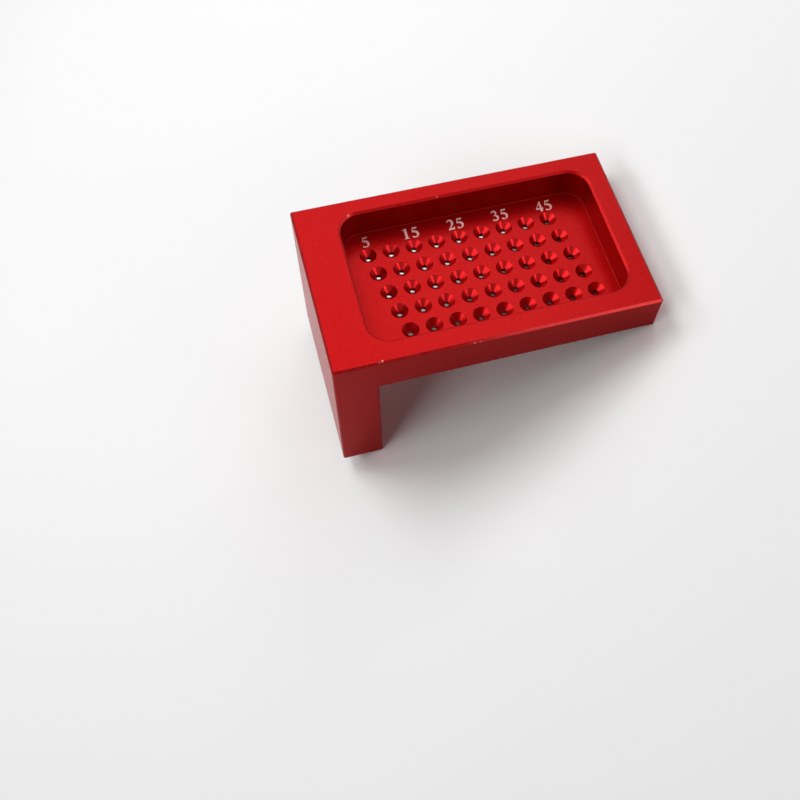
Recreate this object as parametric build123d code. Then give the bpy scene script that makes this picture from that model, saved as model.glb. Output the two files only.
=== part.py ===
from build123d import *
import math
import os

# T-square scribing gauge, machined from one piece of aluminium: a plate with a fence that hangs
# from its left end. A pocket in the plate's top leaves a thin floor, and the floor carries rows
# of countersunk pencil holes. Each row stands one step further from the fence than the row
# behind it, so that the rows together give every whole millimetre along the plate.
#
# Working frame, in millimetres: X runs along the plate from the fence's inner face, Y runs
# across it towards the row that the numbers stand behind, and Z runs up from the plate's
# underside. The finished piece is then leaned over to the way it lies on a table.

# Plate and fence
plate_thickness = 9.0
fence_thickness = 9.0
fence_drop = 29.5

# Pencil holes: the first stands at first_reach from the fence
first_reach = 5.0
hole_pitch = 5.0
holes_per_row = 9
hole_rows = 5
row_pitch = 5.0
row_step = 1.0
hole_radius = 0.6
countersink_radius = 1.8
countersink_angle = 90.0

# Floor left bare around the outermost hole centres, and the walls outside it
floor_margin_left = 5.1
floor_margin_right = 5.0
floor_margin_front = 5.3
floor_margin_back = 6.1
wall_right = 4.5
wall_front = 4.7
wall_back = 3.9

# Pocket
floor_thickness = 2.2
pocket_corner_radius = 4.5

# Edges
rim_chamfer = 0.45
top_chamfer = 0.45
edge_break = 0.3

# Pocket and outline, worked out from the holes outwards
last_reach = first_reach + (holes_per_row - 1) * hole_pitch + (hole_rows - 1) * row_step
back_row_y = (hole_rows - 1) * row_pitch / 2
pocket_left = first_reach - floor_margin_left
pocket_right = last_reach + floor_margin_right
pocket_front = -back_row_y - floor_margin_front
pocket_back = back_row_y + floor_margin_back
plate_reach = pocket_right + wall_right
plate_front = pocket_front - wall_front
plate_back = pocket_back + wall_back
plate_width = plate_back - plate_front

# The plate's far edge and the foot of the fence's inner face touch the table, and both are
# broken by the same amount, so the lean follows from the drop and the reach alone.
rest_lean = math.degrees(math.atan2(fence_drop, plate_reach))


def plate_and_fence():
    """The L-shaped block, with its top edges chamfered and its other outer edges broken."""
    with BuildPart() as block:
        with BuildSketch(Plane.XZ.offset(-plate_back)):
            with BuildLine():
                Polyline(
                    (-fence_thickness, plate_thickness),
                    (plate_reach, plate_thickness),
                    (plate_reach, 0),
                    (0, 0),
                    (0, -fence_drop),
                    (-fence_thickness, -fence_drop),
                    close=True,
                )
            make_face()
        extrude(amount=plate_width)
        top_edges = block.faces().sort_by(Axis.Z)[-1].edges()
        inner_corner = block.edges().filter_by(Axis.Y).filter_by(is_inner_corner)
        chamfer(block.edges() - top_edges - inner_corner, edge_break)
        chamfer(block.faces().sort_by(Axis.Z)[-1].edges(), top_chamfer)
    return block.part


def is_inner_corner(edge):
    """True for the edge where the fence's inner face meets the plate's underside."""
    middle = edge.center()
    return math.isclose(middle.X, 0, abs_tol=1e-6) and math.isclose(middle.Z, 0, abs_tol=1e-6)


def pocket():
    """The space of the pocket, with its round corners and chamfered rim."""
    length = pocket_right - pocket_left
    width = pocket_back - pocket_front
    middle = ((pocket_left + pocket_right) / 2, (pocket_front + pocket_back) / 2)
    with BuildPart() as space:
        with BuildSketch(Plane.XY.offset(floor_thickness)):
            with Locations(middle):
                RectangleRounded(length, width, pocket_corner_radius)
        extrude(amount=plate_thickness - floor_thickness)
        with BuildSketch(Plane.XY.offset(plate_thickness - rim_chamfer)):
            with Locations(middle):
                RectangleRounded(length, width, pocket_corner_radius)
        extrude(amount=rim_chamfer, taper=-45)
    return space.part


def pencil_hole():
    """The space of one hole, its countersink opening at the pocket's floor."""
    half_angle = math.radians(countersink_angle / 2)
    countersink_depth = (countersink_radius - hole_radius) / math.tan(half_angle)
    with BuildPart() as space:
        with BuildSketch(Plane.XZ):
            with BuildLine():
                Polyline(
                    (0, 0),
                    (hole_radius, 0),
                    (hole_radius, floor_thickness - countersink_depth),
                    (countersink_radius, floor_thickness),
                    (0, floor_thickness),
                    close=True,
                )
            make_face()
        revolve(axis=Axis.Z)
    return space.part


def hole_places():
    """The centre of every hole, row by row from the back, each row one step further out."""
    places = []
    for row in range(hole_rows):
        for column in range(holes_per_row):
            reach = first_reach + column * hole_pitch + row * row_step
            places.append((reach, back_row_y - row * row_pitch))
    return places


def t_square_body():
    """The whole piece in the working frame."""
    hole = pencil_hole()
    holes = [Pos(x, y, 0) * hole for x, y in hole_places()]
    return plate_and_fence() - pocket() - holes


def laid_on_table(piece):
    """The piece as it comes to rest, with the origin under the middle of its bounding box."""
    leaned = Rot(0, rest_lean, 0) * piece
    box = leaned.bounding_box()
    return Pos(-box.center().X, -box.center().Y, -box.min.Z) * leaned


body = laid_on_table(t_square_body())
body.label = "t_square_body"

os.makedirs("parts", exist_ok=True)
export_step(body, "parts/t_square_body.step")
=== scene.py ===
import math

import bmesh
import bpy
from mathutils import Matrix, Vector


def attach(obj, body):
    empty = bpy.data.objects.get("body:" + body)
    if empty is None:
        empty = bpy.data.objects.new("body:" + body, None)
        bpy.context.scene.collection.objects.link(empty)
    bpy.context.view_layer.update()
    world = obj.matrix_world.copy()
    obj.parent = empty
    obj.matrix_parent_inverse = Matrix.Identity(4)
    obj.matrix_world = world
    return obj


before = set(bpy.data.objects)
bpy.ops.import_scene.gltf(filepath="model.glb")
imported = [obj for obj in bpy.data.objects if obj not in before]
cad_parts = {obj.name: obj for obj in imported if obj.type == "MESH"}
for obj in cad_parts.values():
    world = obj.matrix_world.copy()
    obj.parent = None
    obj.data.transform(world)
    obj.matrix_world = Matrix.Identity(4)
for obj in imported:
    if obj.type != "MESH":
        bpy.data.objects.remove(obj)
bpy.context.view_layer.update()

# The gauge lies leaned over. "Gauge frame" below means the upright one, in millimetres: X along
# the plate from the fence's inner face, Y towards the back, Z up from the plate's underside.
MM = 0.001
FENCE_DROP = 29.5
PLATE_REACH = 58.5
LEAN = math.atan2(FENCE_DROP, PLATE_REACH)
GAUGE_ORIGIN = Vector((-17.450196, 0.0, 26.205343)) * MM
GAUGE = Matrix.Translation(GAUGE_ORIGIN) @ Matrix.Rotation(LEAN, 4, "Y") @ Matrix.Scale(MM, 4)

# Faces of the solid that the marking and the materials follow
OUTER_FACE_X = -9.0
FLOOR_Z = 2.2
TOP_Z = 9.0
POCKET = (-0.1, 54.0, -15.3, 16.1)
POCKET_RADIUS = 4.5

# Boxes round the pocket's middle: one holds all the pencil holes, the other the pocket's rim
MIDDLE_X = 27.0
HOLES_HALF = (25.5, 13.5)
RIM_HALF = (28.0, 17.0)


class Nodes:
    """A material's node tree with short calls for the nodes used here."""

    def __init__(self, name):
        self.material = bpy.data.materials.new(name)
        self.material.use_nodes = True
        self.tree = self.material.node_tree
        self.tree.nodes.clear()
        self.out = self.add("ShaderNodeOutputMaterial")

    def add(self, kind, **values):
        node = self.tree.nodes.new(kind)
        for key, value in values.items():
            setattr(node, key, value)
        return node

    def link(self, a, b):
        self.tree.links.new(a, b)

    def put(self, socket, value):
        """Links a node's output to the socket, or sets the socket to a plain value."""
        if hasattr(value, "is_output"):
            self.link(value, socket)
        else:
            socket.default_value = value

    def principled(self, sockets):
        """A principled shader with its sockets linked or set by name."""
        bsdf = self.add("ShaderNodeBsdfPrincipled")
        for name, value in sockets.items():
            self.put(bsdf.inputs[name], value)
        return bsdf.outputs[0]

    def math(self, operation, *values):
        node = self.add("ShaderNodeMath", operation=operation)
        for socket, value in zip(node.inputs, values):
            self.put(socket, value)
        return node.outputs[0]

    def product(self, *values):
        result = values[0]
        for value in values[1:]:
            result = self.math("MULTIPLY", result, value)
        return result

    def ramp(self, value, low, high, to_low=0.0, to_high=1.0):
        """value carried smoothly from low..high to to_low..to_high, and held outside it."""
        node = self.add("ShaderNodeMapRange", interpolation_type="SMOOTHSTEP")
        for socket, v in zip(node.inputs, (value, low, high, to_low, to_high)):
            self.put(socket, v)
        return node.outputs[0]

    def band(self, value, rise, fall):
        """One between a smooth rise and a smooth fall, each a pair of values, else zero."""
        return self.product(self.ramp(value, *rise), self.ramp(value, *fall, 1.0, 0.0))

    def box(self, x, y, half):
        """One inside a box round the pocket's middle, else zero."""
        from_middle = self.math("ABSOLUTE", self.math("SUBTRACT", x, MIDDLE_X))
        in_x = self.math("LESS_THAN", from_middle, half[0])
        in_y = self.math("LESS_THAN", self.math("ABSOLUTE", y), half[1])
        return self.product(in_x, in_y)

    def mix(self, factor, a, b):
        """Colour a, and by the factor colour b. A plain colour is three numbers."""
        node = self.add("ShaderNodeMix", data_type="RGBA")
        self.put(node.inputs[0], factor)
        for socket, colour in ((node.inputs[6], a), (node.inputs[7], b)):
            self.put(socket, colour if hasattr(colour, "is_output") else (*colour, 1.0))
        return node.outputs[2]

    def noise(self, vector, scale, detail, rough):
        node = self.add("ShaderNodeTexNoise")
        self.link(vector, node.inputs["Vector"])
        node.inputs["Scale"].default_value = scale
        node.inputs["Detail"].default_value = detail
        node.inputs["Roughness"].default_value = rough
        return node.outputs["Fac"]

    def bump(self, height, strength, distance):
        node = self.add("ShaderNodeBump")
        self.link(height, node.inputs["Height"])
        self.put(node.inputs["Strength"], strength)
        node.inputs["Distance"].default_value = distance
        return node.outputs[0]

    def gauge_point(self):
        """Where the shaded point is in the gauge frame, in millimetres."""
        where = self.add("ShaderNodeTexCoord").outputs["Object"]
        node = self.add("ShaderNodeMapping", vector_type="TEXTURE")
        self.link(where, node.inputs["Vector"])
        node.inputs["Location"].default_value = GAUGE_ORIGIN
        node.inputs["Rotation"].default_value = (0.0, LEAN, 0.0)
        node.inputs["Scale"].default_value = (MM, MM, MM)
        return node.outputs[0]

    def split(self, vector):
        node = self.add("ShaderNodeSeparateXYZ")
        self.link(vector, node.inputs[0])
        return node.outputs[0], node.outputs[1], node.outputs[2]


# Red anodised aluminium: linear colours
GRAIN_DARK = (0.254, 0.0004, 0.0008)
GRAIN_LIGHT = (0.314, 0.0060, 0.0068)
MOTTLE_RED = (0.250, 0.0012, 0.0017)
DRIFT_RED = (0.296, 0.0044, 0.0050)
HOLE_RED = (0.38, 0.0068, 0.0082)
# painted shade on the plate's outer chamfer, and a painted highlight with faint pale patches on
# it
CHAMFER_PAINTED_SHADE = (0.080, 0.0008, 0.0010)
CHAMFER_PATCH_AND_HIGHLIGHT = (0.59, 0.05, 0.05)
# painted highlight on the pocket's rim chamfer
RIM_PAINTED_HIGHLIGHT = (0.61, 0.025, 0.025)
# painted shade in the crease at the pocket floor's edge
FILLET_PAINTED_SHADE = (0.10, 0.0030, 0.0030)
NICK_PALE = (0.75, 0.38, 0.36)
GRAZING_TINT = (1.0, 0.75, 0.75, 1.0)

# Finish of the smooth cones, what the blasted grain adds to it, and what the fence's smoother
# outer face takes off again
CONE_ROUGHNESS = 0.28
GRAIN_ROUGHNESS = (0.11, 0.17)
OUTER_ROUGHNESS = 0.15
BUMP_STRENGTH = 0.48
OUTER_BUMP = 0.30
BUMP_DEPTH = 0.03 * MM

# Small bright nicks: where in the gauge frame, radius in millimetres, strength
NICKS = (
    ((0.9, -19.5, 8.9), 0.34, 0.34),
    ((0.3, -19.6, 8.8), 0.26, 0.26),
    ((2.5, 16.0, 8.9), 0.42, 0.20),
    ((21.6, 16.3, 8.9), 0.32, 0.20),
    ((19.2, -19.8, 8.6), 0.26, 0.40),
    ((20.3, -19.8, 8.6), 0.22, 0.32),
)


def blasted_colour(n, point, grain):
    """The dyed skin: a fine grain, a little mottle and a slow drift of the dye."""
    mottle = n.ramp(n.noise(point, 0.9, 3.0, 0.6), 0.42, 0.75)
    drift = n.ramp(n.noise(point, 0.09, 2.0, 0.5), 0.35, 0.7)
    base = n.mix(n.ramp(grain, 0.34, 0.66), GRAIN_DARK, GRAIN_LIGHT)
    base = n.mix(n.product(mottle, 0.25), base, MOTTLE_RED)
    return n.mix(n.product(drift, 0.3), base, DRIFT_RED)


def edge_colours(n, base, point):
    """Painted shade, painted highlights and faint pale patches on the chamfers round the plate's
    top and the pocket's rim, and painted shade on the fillet at its floor.
    """
    x, y, z = n.split(point)
    chamfer = n.band(z, (TOP_Z - 0.50, TOP_Z - 0.44), (TOP_Z - 0.04, TOP_Z))
    in_pocket = n.box(x, y, RIM_HALF)
    inner = n.product(chamfer, in_pocket)
    outer = n.math("SUBTRACT", chamfer, inner)

    # painted shade along most of the plate's outer chamfer, faint pale patches, and a painted
    # highlight along the front's right
    front = n.product(n.ramp(y, -19.5, -19.2, 1.0, 0.0), n.ramp(x, 12.0, 36.0))
    elsewhere = n.product(outer, n.math("SUBTRACT", 1.0, front))
    base = n.mix(n.product(elsewhere, 0.5), base, CHAMFER_PAINTED_SHADE)
    patches = n.ramp(n.noise(point, 0.7, 3.0, 0.55), 0.34, 0.68)
    patches_and_highlight = n.math("ADD", n.product(patches, 0.10), n.product(front, 0.42))
    base = n.mix(n.product(outer, patches_and_highlight), base, CHAMFER_PATCH_AND_HIGHLIGHT)

    # painted highlight on the pocket's rim chamfer along its left and front, and a little on the
    # right
    left = n.ramp(x, 0.5, 4.0, 1.0, 0.0)
    near = n.ramp(y, -15.0, -11.5, 1.0, 0.0)
    right = n.ramp(x, 52.0, 53.5)
    left_front_highlight = n.product(n.math("MAXIMUM", left, near), 0.8)
    rim_highlight = n.math("MAXIMUM", left_front_highlight, n.product(right, 0.10))
    base = n.mix(n.product(inner, rim_highlight), base, RIM_PAINTED_HIGHLIGHT)

    # painted shade along the floor's edge, in the crease where the wall meets it
    fillet = n.band(z, (FLOOR_Z + 0.004, FLOOR_Z + 0.02), (FLOOR_Z + 0.14, FLOOR_Z + 0.22))
    return n.mix(n.product(fillet, in_pocket, 0.7), base, FILLET_PAINTED_SHADE)


def nicked(n, base, point, fine):
    """Small ragged spots where the dye is gone."""
    for spot, radius, strength in NICKS:
        away = n.add("ShaderNodeVectorMath", operation="DISTANCE")
        n.link(point, away.inputs[0])
        away.inputs[1].default_value = spot
        edge = n.math("ADD", away.outputs["Value"], n.product(fine, radius))
        base = n.mix(n.ramp(edge, radius, radius * 1.4, strength, 0.0), base, NICK_PALE)
    return base


def red_anodised():
    n = Nodes("red_anodised")
    point = n.gauge_point()
    x, y, z = n.split(point)
    grain = n.noise(point, 4.2, 2.0, 0.6)
    fine = n.noise(point, 12.0, 2.0, 0.5)

    # inside a countersink or bore, which are cut smooth; all the rest is skin
    hole = n.product(
        n.band(z, (0.02, 0.06), (FLOOR_Z - 0.06, FLOOR_Z - 0.02)),
        n.box(x, y, HOLES_HALF),
    )
    skin = n.math("SUBTRACT", 1.0, hole)
    outside = n.ramp(x, OUTER_FACE_X + 0.02, OUTER_FACE_X + 0.06, 1.0, 0.0)

    base = n.mix(hole, blasted_colour(n, point, grain), HOLE_RED)
    base = nicked(n, edge_colours(n, base, point), point, fine)
    blasted = n.product(skin, n.ramp(grain, 0.3, 0.7, *GRAIN_ROUGHNESS))
    rough = n.math("ADD", CONE_ROUGHNESS, blasted)
    rough = n.math("SUBTRACT", rough, n.product(outside, OUTER_ROUGHNESS))
    strength = n.math("SUBTRACT", BUMP_STRENGTH, n.product(outside, OUTER_BUMP))
    height = n.math("ADD", n.product(grain, 0.6), n.product(fine, 0.4))
    bump = n.bump(height, n.product(skin, strength), BUMP_DEPTH)

    metal = n.principled({
        "Base Color": base,
        "Roughness": rough,
        "Metallic": 0.85,
        "Specular IOR Level": 0.0,
        "Specular Tint": GRAZING_TINT,
        "Coat Weight": 0.12,
        "Coat Roughness": 0.2,
        "Coat IOR": 1.3,
        "Normal": bump,
        "Coat Normal": bump,
    })
    n.link(metal, n.out.inputs["Surface"])
    return n.material


RED = red_anodised()
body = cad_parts["t_square_body"]
body.data.materials.clear()
body.data.materials.append(RED)


# Outlines of bold upright serif figures, one unit high, baseline at zero. A point with a third
# value of 1 is a corner, the others are smooth.
FIGURES = {
    "1": [[
        (0.08, 0.0, 1), (0.54, 0.0, 1), (0.54, 0.035, 1), (0.45, 0.05), (0.42, 0.10, 1),
        (0.42, 1.0, 1), (0.38, 1.0, 1), (0.06, 0.87, 1), (0.06, 0.835, 1), (0.16, 0.855),
        (0.22, 0.79, 1), (0.22, 0.10, 1), (0.18, 0.05), (0.08, 0.035, 1),
    ]],
    "2": [[
        (0.03, 0.0, 1), (0.51, 0.0, 1), (0.58, 0.25, 1), (0.545, 0.25, 1), (0.50, 0.18),
        (0.43, 0.165, 1), (0.22, 0.165, 1), (0.40, 0.36), (0.53, 0.55), (0.545, 0.76),
        (0.46, 0.94), (0.29, 1.0), (0.12, 0.93), (0.03, 0.73, 1), (0.07, 0.72, 1),
        (0.13, 0.82), (0.23, 0.86), (0.33, 0.80), (0.365, 0.66), (0.32, 0.47),
        (0.20, 0.26), (0.03, 0.035, 1),
    ]],
    "3": [[
        (0.04, 0.77, 1), (0.12, 0.93), (0.27, 1.0), (0.43, 0.94), (0.50, 0.78),
        (0.46, 0.65), (0.37, 0.575, 1), (0.50, 0.49), (0.565, 0.32), (0.51, 0.12),
        (0.36, 0.01), (0.18, -0.01), (0.05, 0.035), (0.03, 0.11), (0.10, 0.165),
        (0.19, 0.115), (0.28, 0.075), (0.37, 0.14), (0.395, 0.28), (0.34, 0.42),
        (0.19, 0.48, 1), (0.19, 0.515, 1), (0.29, 0.58), (0.335, 0.71), (0.30, 0.82),
        (0.21, 0.865), (0.13, 0.83), (0.08, 0.76, 1),
    ]],
    "4": [
        [
            (0.33, 0.0, 1), (0.51, 0.0, 1), (0.51, 0.222, 1), (0.60, 0.218, 1),
            (0.60, 0.355, 1), (0.508, 0.358, 1), (0.508, 1.0, 1), (0.42, 1.0, 1),
            (0.02, 0.34, 1), (0.02, 0.225, 1), (0.33, 0.22, 1),
        ],
        [(0.332, 0.362, 1), (0.332, 0.76, 1), (0.093, 0.36, 1)],
    ],
    "5": [[
        (0.16, 0.98, 1), (0.52, 0.98, 1), (0.56, 1.0, 1), (0.49, 0.815, 1),
        (0.20, 0.815, 1), (0.165, 0.67, 1), (0.38, 0.64), (0.54, 0.50), (0.58, 0.30),
        (0.49, 0.09), (0.25, -0.01), (0.07, 0.025), (0.03, 0.10), (0.10, 0.16),
        (0.18, 0.12), (0.27, 0.07), (0.37, 0.13), (0.41, 0.28), (0.35, 0.43),
        (0.21, 0.50), (0.06, 0.50, 1),
    ]],
}
FIGURE_STEPS = 8
# Each number and the middle of it along the plate
NUMBERS = ((5, 5.25), (15, 15.12), (25, 25.1), (35, 35.1), (45, 45.15))
NUMBER_BASE = 12.2
NUMBER_HEIGHT = 2.75
# Per unit of height
FIGURE_ADVANCE = 0.73
FIGURE_WIDTH = 0.60
# How far the film of marking stands above the floor, and as far into it
FILM = 0.012
MARK_DARK = (0.88, 0.50, 0.48)
MARK_LIGHT = (0.98, 0.66, 0.63)
MARK_THIN = (0.72, 0.42, 0.40)


def place(mesh, name, material):
    """The mesh as a piece that rides on the gauge."""
    mesh.name = name
    mesh.materials.clear()
    mesh.materials.append(material)
    piece = bpy.data.objects.new(name, mesh)
    bpy.context.scene.collection.objects.link(piece)
    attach(piece, "root")
    return piece


def figure_splines(curve, figure, left):
    """Adds one figure's outlines to a 2D curve, in millimetres, from left."""
    for outline in FIGURES[figure]:
        spline = curve.splines.new("BEZIER")
        spline.bezier_points.add(len(outline) - 1)
        spline.use_cyclic_u = True
        for knot, spec in zip(spline.bezier_points, outline):
            x = left + spec[0] * NUMBER_HEIGHT
            y = NUMBER_BASE + spec[1] * NUMBER_HEIGHT
            knot.co = (x, y, 0.0)
            kind = "VECTOR" if len(spec) == 3 else "AUTO"
            knot.handle_left_type = knot.handle_right_type = kind


def marked_number(value, middle, material):
    """One number as a thin film of marking on the pocket's floor, read from the front."""
    text = str(value)
    width = (FIGURE_ADVANCE * (len(text) - 1) + FIGURE_WIDTH) * NUMBER_HEIGHT
    curve = bpy.data.curves.new("outline", "CURVE")
    curve.dimensions = "2D"
    curve.fill_mode = "BOTH"
    curve.extrude = FILM
    curve.resolution_u = FIGURE_STEPS
    for k, figure in enumerate(text):
        figure_splines(curve, figure, middle - width / 2 + k * FIGURE_ADVANCE * NUMBER_HEIGHT)
    holder = bpy.data.objects.new("holder", curve)
    bpy.context.scene.collection.objects.link(holder)
    bpy.context.view_layer.update()
    mesh = bpy.data.meshes.new_from_object(holder)
    bpy.data.objects.remove(holder)
    mesh.transform(GAUGE @ Matrix.Translation((0.0, 0.0, FLOOR_Z)))
    place(mesh, f"number_{value}", material)


def number_marking():
    """Pale marking, a little uneven."""
    n = Nodes("number_marking")
    point = n.gauge_point()
    grain = n.noise(point, 6.0, 3.0, 0.6)
    thin = n.ramp(n.noise(point, 1.3, 2.0, 0.5), 0.5, 0.75)
    tone = n.mix(n.ramp(grain, 0.35, 0.65), MARK_DARK, MARK_LIGHT)
    marking = n.principled({
        "Base Color": n.mix(n.product(thin, 0.4), tone, MARK_THIN),
        "Roughness": n.ramp(grain, 0.3, 0.7, 0.55, 0.75),
        "Specular IOR Level": 0.3,
        "Normal": n.bump(grain, 0.4, 0.02 * MM),
    })
    n.link(marking, n.out.inputs["Surface"])
    return n.material


MARKING = number_marking()
for value, middle in NUMBERS:
    marked_number(value, middle, MARKING)


def pocket_outline(steps=14):
    """Points round the pocket's wall with the way into the pocket at each, in the gauge frame."""
    left, right, front, back = POCKET
    r = POCKET_RADIUS
    ring = []
    for cx, cy, start in (
        (right - r, back - r, 0.0),
        (left + r, back - r, 0.5),
        (left + r, front + r, 1.0),
        (right - r, front + r, 1.5),
    ):
        for k in range(steps + 1):
            a = math.pi * (start + 0.5 * k / steps)
            out = Vector((math.cos(a), math.sin(a), 0.0))
            ring.append((Vector((cx, cy, 0.0)) + out * r, -out))
    return ring


def pocket_fillet(radius=0.16, sink=0.004, buried=0.05, steps=5):
    """The small radius that the cutter left between the pocket's wall and floor. Its ends sink
    into the metal, and its back edge lies buried behind them."""
    form = bmesh.new()
    rows = []
    for at, way in pocket_outline():
        row = [form.verts.new(at - way * buried + Vector((0, 0, FLOOR_Z - buried)))]
        for k in range(steps + 1):
            a = 0.5 * math.pi * k / steps
            inward = radius * (1.0 - math.cos(a)) - sink
            up = radius * (1.0 - math.sin(a)) - sink
            row.append(form.verts.new(at + way * inward + Vector((0, 0, FLOOR_Z + up))))
        rows.append(row)
    for a, b in zip(rows, rows[1:] + rows[:1]):
        for k in range(len(a)):
            m = (k + 1) % len(a)
            form.faces.new((a[k], a[m], b[m], b[k]))
    bmesh.ops.recalc_face_normals(form, faces=form.faces)
    for face in form.faces:
        face.smooth = True
    mesh = bpy.data.meshes.new("pocket_fillet")
    form.to_mesh(mesh)
    form.free()
    mesh.transform(GAUGE)
    piece = place(mesh, "pocket_fillet", RED)


pocket_fillet()


# The pinhole camera solved on the photograph, in the gauge frame: focal length and optical
# centre in pixels, and the turn and shift that carry a point into the camera's view
PHOTO_WIDTH = 800
FOCAL, CENTRE_X, CENTRE_Y = 947.5387, 441.4544, 406.4639
TURN = Vector((2.6454, -0.3531, 0.1302))
SHIFT = Vector((-17.6363, -21.0292, 196.3849))
SENSOR = 36.0


def place_camera():
    turn = Matrix.Rotation(TURN.length, 3, TURN.normalized())
    eye = -(turn.transposed() @ SHIFT)
    lean = Matrix.Rotation(LEAN, 3, "Y")
    # the solved camera looks along Z with Y down, Blender's along -Z with Y up
    look = lean @ turn.transposed() @ Matrix(((1, 0, 0), (0, -1, 0), (0, 0, -1)))
    data = bpy.data.cameras.new("photo_camera")
    camera = bpy.data.objects.new("photo_camera", data)
    bpy.context.scene.collection.objects.link(camera)
    camera.matrix_world = Matrix.Translation(GAUGE @ eye) @ look.to_4x4()
    data.sensor_fit = "HORIZONTAL"
    data.sensor_width = SENSOR
    data.lens = FOCAL / PHOTO_WIDTH * SENSOR
    data.shift_x = (PHOTO_WIDTH / 2 - CENTRE_X) / PHOTO_WIDTH
    data.shift_y = (CENTRE_Y - PHOTO_WIDTH / 2) / PHOTO_WIDTH
    data.clip_start = 0.005
    data.clip_end = 10.0
    bpy.context.scene.camera = camera


place_camera()


# The floor's two near tones, and how far out it is plain and how far it reaches, in metres
FLOOR_DARK = (0.92, 0.92, 0.92)
FLOOR_LIGHT = (0.95, 0.95, 0.95)
FLOOR_PLAIN = 0.20
FLOOR_REACH = 0.50


def pale_floor():
    """A pale floor round the gauge that fades out into the white world."""
    n = Nodes("pale_floor")
    where = n.add("ShaderNodeTexCoord").outputs["Object"]
    tone = n.ramp(n.noise(where, 3.0, 3.0, 0.5), 0.3, 0.7)
    plain = n.principled({"Base Color": n.mix(tone, FLOOR_DARK, FLOOR_LIGHT), "Roughness": 0.9})
    reach = n.add("ShaderNodeVectorMath", operation="LENGTH")
    n.link(where, reach.inputs[0])
    fade = n.add("ShaderNodeMixShader")
    n.link(n.ramp(reach.outputs["Value"], FLOOR_PLAIN, FLOOR_REACH), fade.inputs[0])
    n.link(plain, fade.inputs[1])
    n.link(n.add("ShaderNodeBsdfTransparent").outputs[0], fade.inputs[2])
    n.link(fade.outputs[0], n.out.inputs["Surface"])

    mesh = bpy.data.meshes.new("floor")
    form = bmesh.new()
    bmesh.ops.create_circle(form, cap_ends=True, radius=FLOOR_REACH, segments=96)
    form.to_mesh(mesh)
    form.free()
    mesh.materials.append(n.material)
    floor = bpy.data.objects.new("floor", mesh)
    bpy.context.scene.collection.objects.link(floor)


# How strongly the white world lights what isn't seen straight, in metal or through glass
WORLD_LIGHT = 0.02


def plain_world():
    """White to the eye and in the metal, and nearly no light of its own on the object."""
    world = bpy.data.worlds.new("plain_world")
    bpy.context.scene.world = world
    world.use_nodes = True
    tree = world.node_tree
    path = tree.nodes.new("ShaderNodeLightPath")
    seen = path.outputs["Is Camera Ray"]
    for kind in ("Is Glossy Ray", "Is Transmission Ray"):
        either = tree.nodes.new("ShaderNodeMath")
        either.operation = "MAXIMUM"
        tree.links.new(seen, either.inputs[0])
        tree.links.new(path.outputs[kind], either.inputs[1])
        seen = either.outputs[0]
    level = tree.nodes.new("ShaderNodeMapRange")
    tree.links.new(seen, level.inputs[0])
    level.inputs["To Min"].default_value = WORLD_LIGHT
    level.inputs["To Max"].default_value = 1.0
    back = tree.nodes["Background"]
    back.inputs["Color"].default_value = (1.0, 1.0, 1.0, 1.0)
    tree.links.new(level.outputs[0], back.inputs["Strength"])


# Softboxes round the gauge, all turned to AIM: name, azimuth from +X and elevation in degrees,
# distance in millimetres, width and height in metres, watts. Angles are in the gauge frame.
AIM = Vector((25.0, 0.0, 5.0))
SOFTBOXES = (
    ("back_left", 135, 50, 500, (0.20, 0.24), 0.93),
    ("back", 112, 50, 500, (0.20, 0.24), 0.28),
    ("back_right", 68, 50, 500, (0.20, 0.24), 0.31),
    ("overhead", 45, 74, 500, (0.30, 0.30), 0.40),
    ("left_back", 152, 24, 500, (0.20, 0.16), 0.46),
    ("left", 184, 34, 500, (0.20, 0.14), 0.37),
    ("left_front", 208, 24, 500, (0.20, 0.16), 0.34),
    ("front_strip", 306, 29, 463, (0.22, 0.08), 0.34),
)


def softbox(name, azimuth, elevation, distance, size, power):
    data = bpy.data.lights.new(name, "AREA")
    data.shape = "RECTANGLE"
    data.size, data.size_y = size
    data.energy = power
    lamp = bpy.data.objects.new(name, data)
    bpy.context.scene.collection.objects.link(lamp)
    a, e = math.radians(azimuth), math.radians(elevation)
    way = Vector((math.cos(e) * math.cos(a), math.cos(e) * math.sin(a), math.sin(e)))
    spot = GAUGE @ (AIM + way * distance)
    turn = (GAUGE @ AIM - spot).to_track_quat("-Z", "Y").to_matrix().to_4x4()
    lamp.matrix_world = Matrix.Translation(spot) @ turn


pale_floor()
plain_world()
for box in SOFTBOXES:
    softbox(*box)

scene = bpy.context.scene
scene.view_settings.view_transform = "Standard"
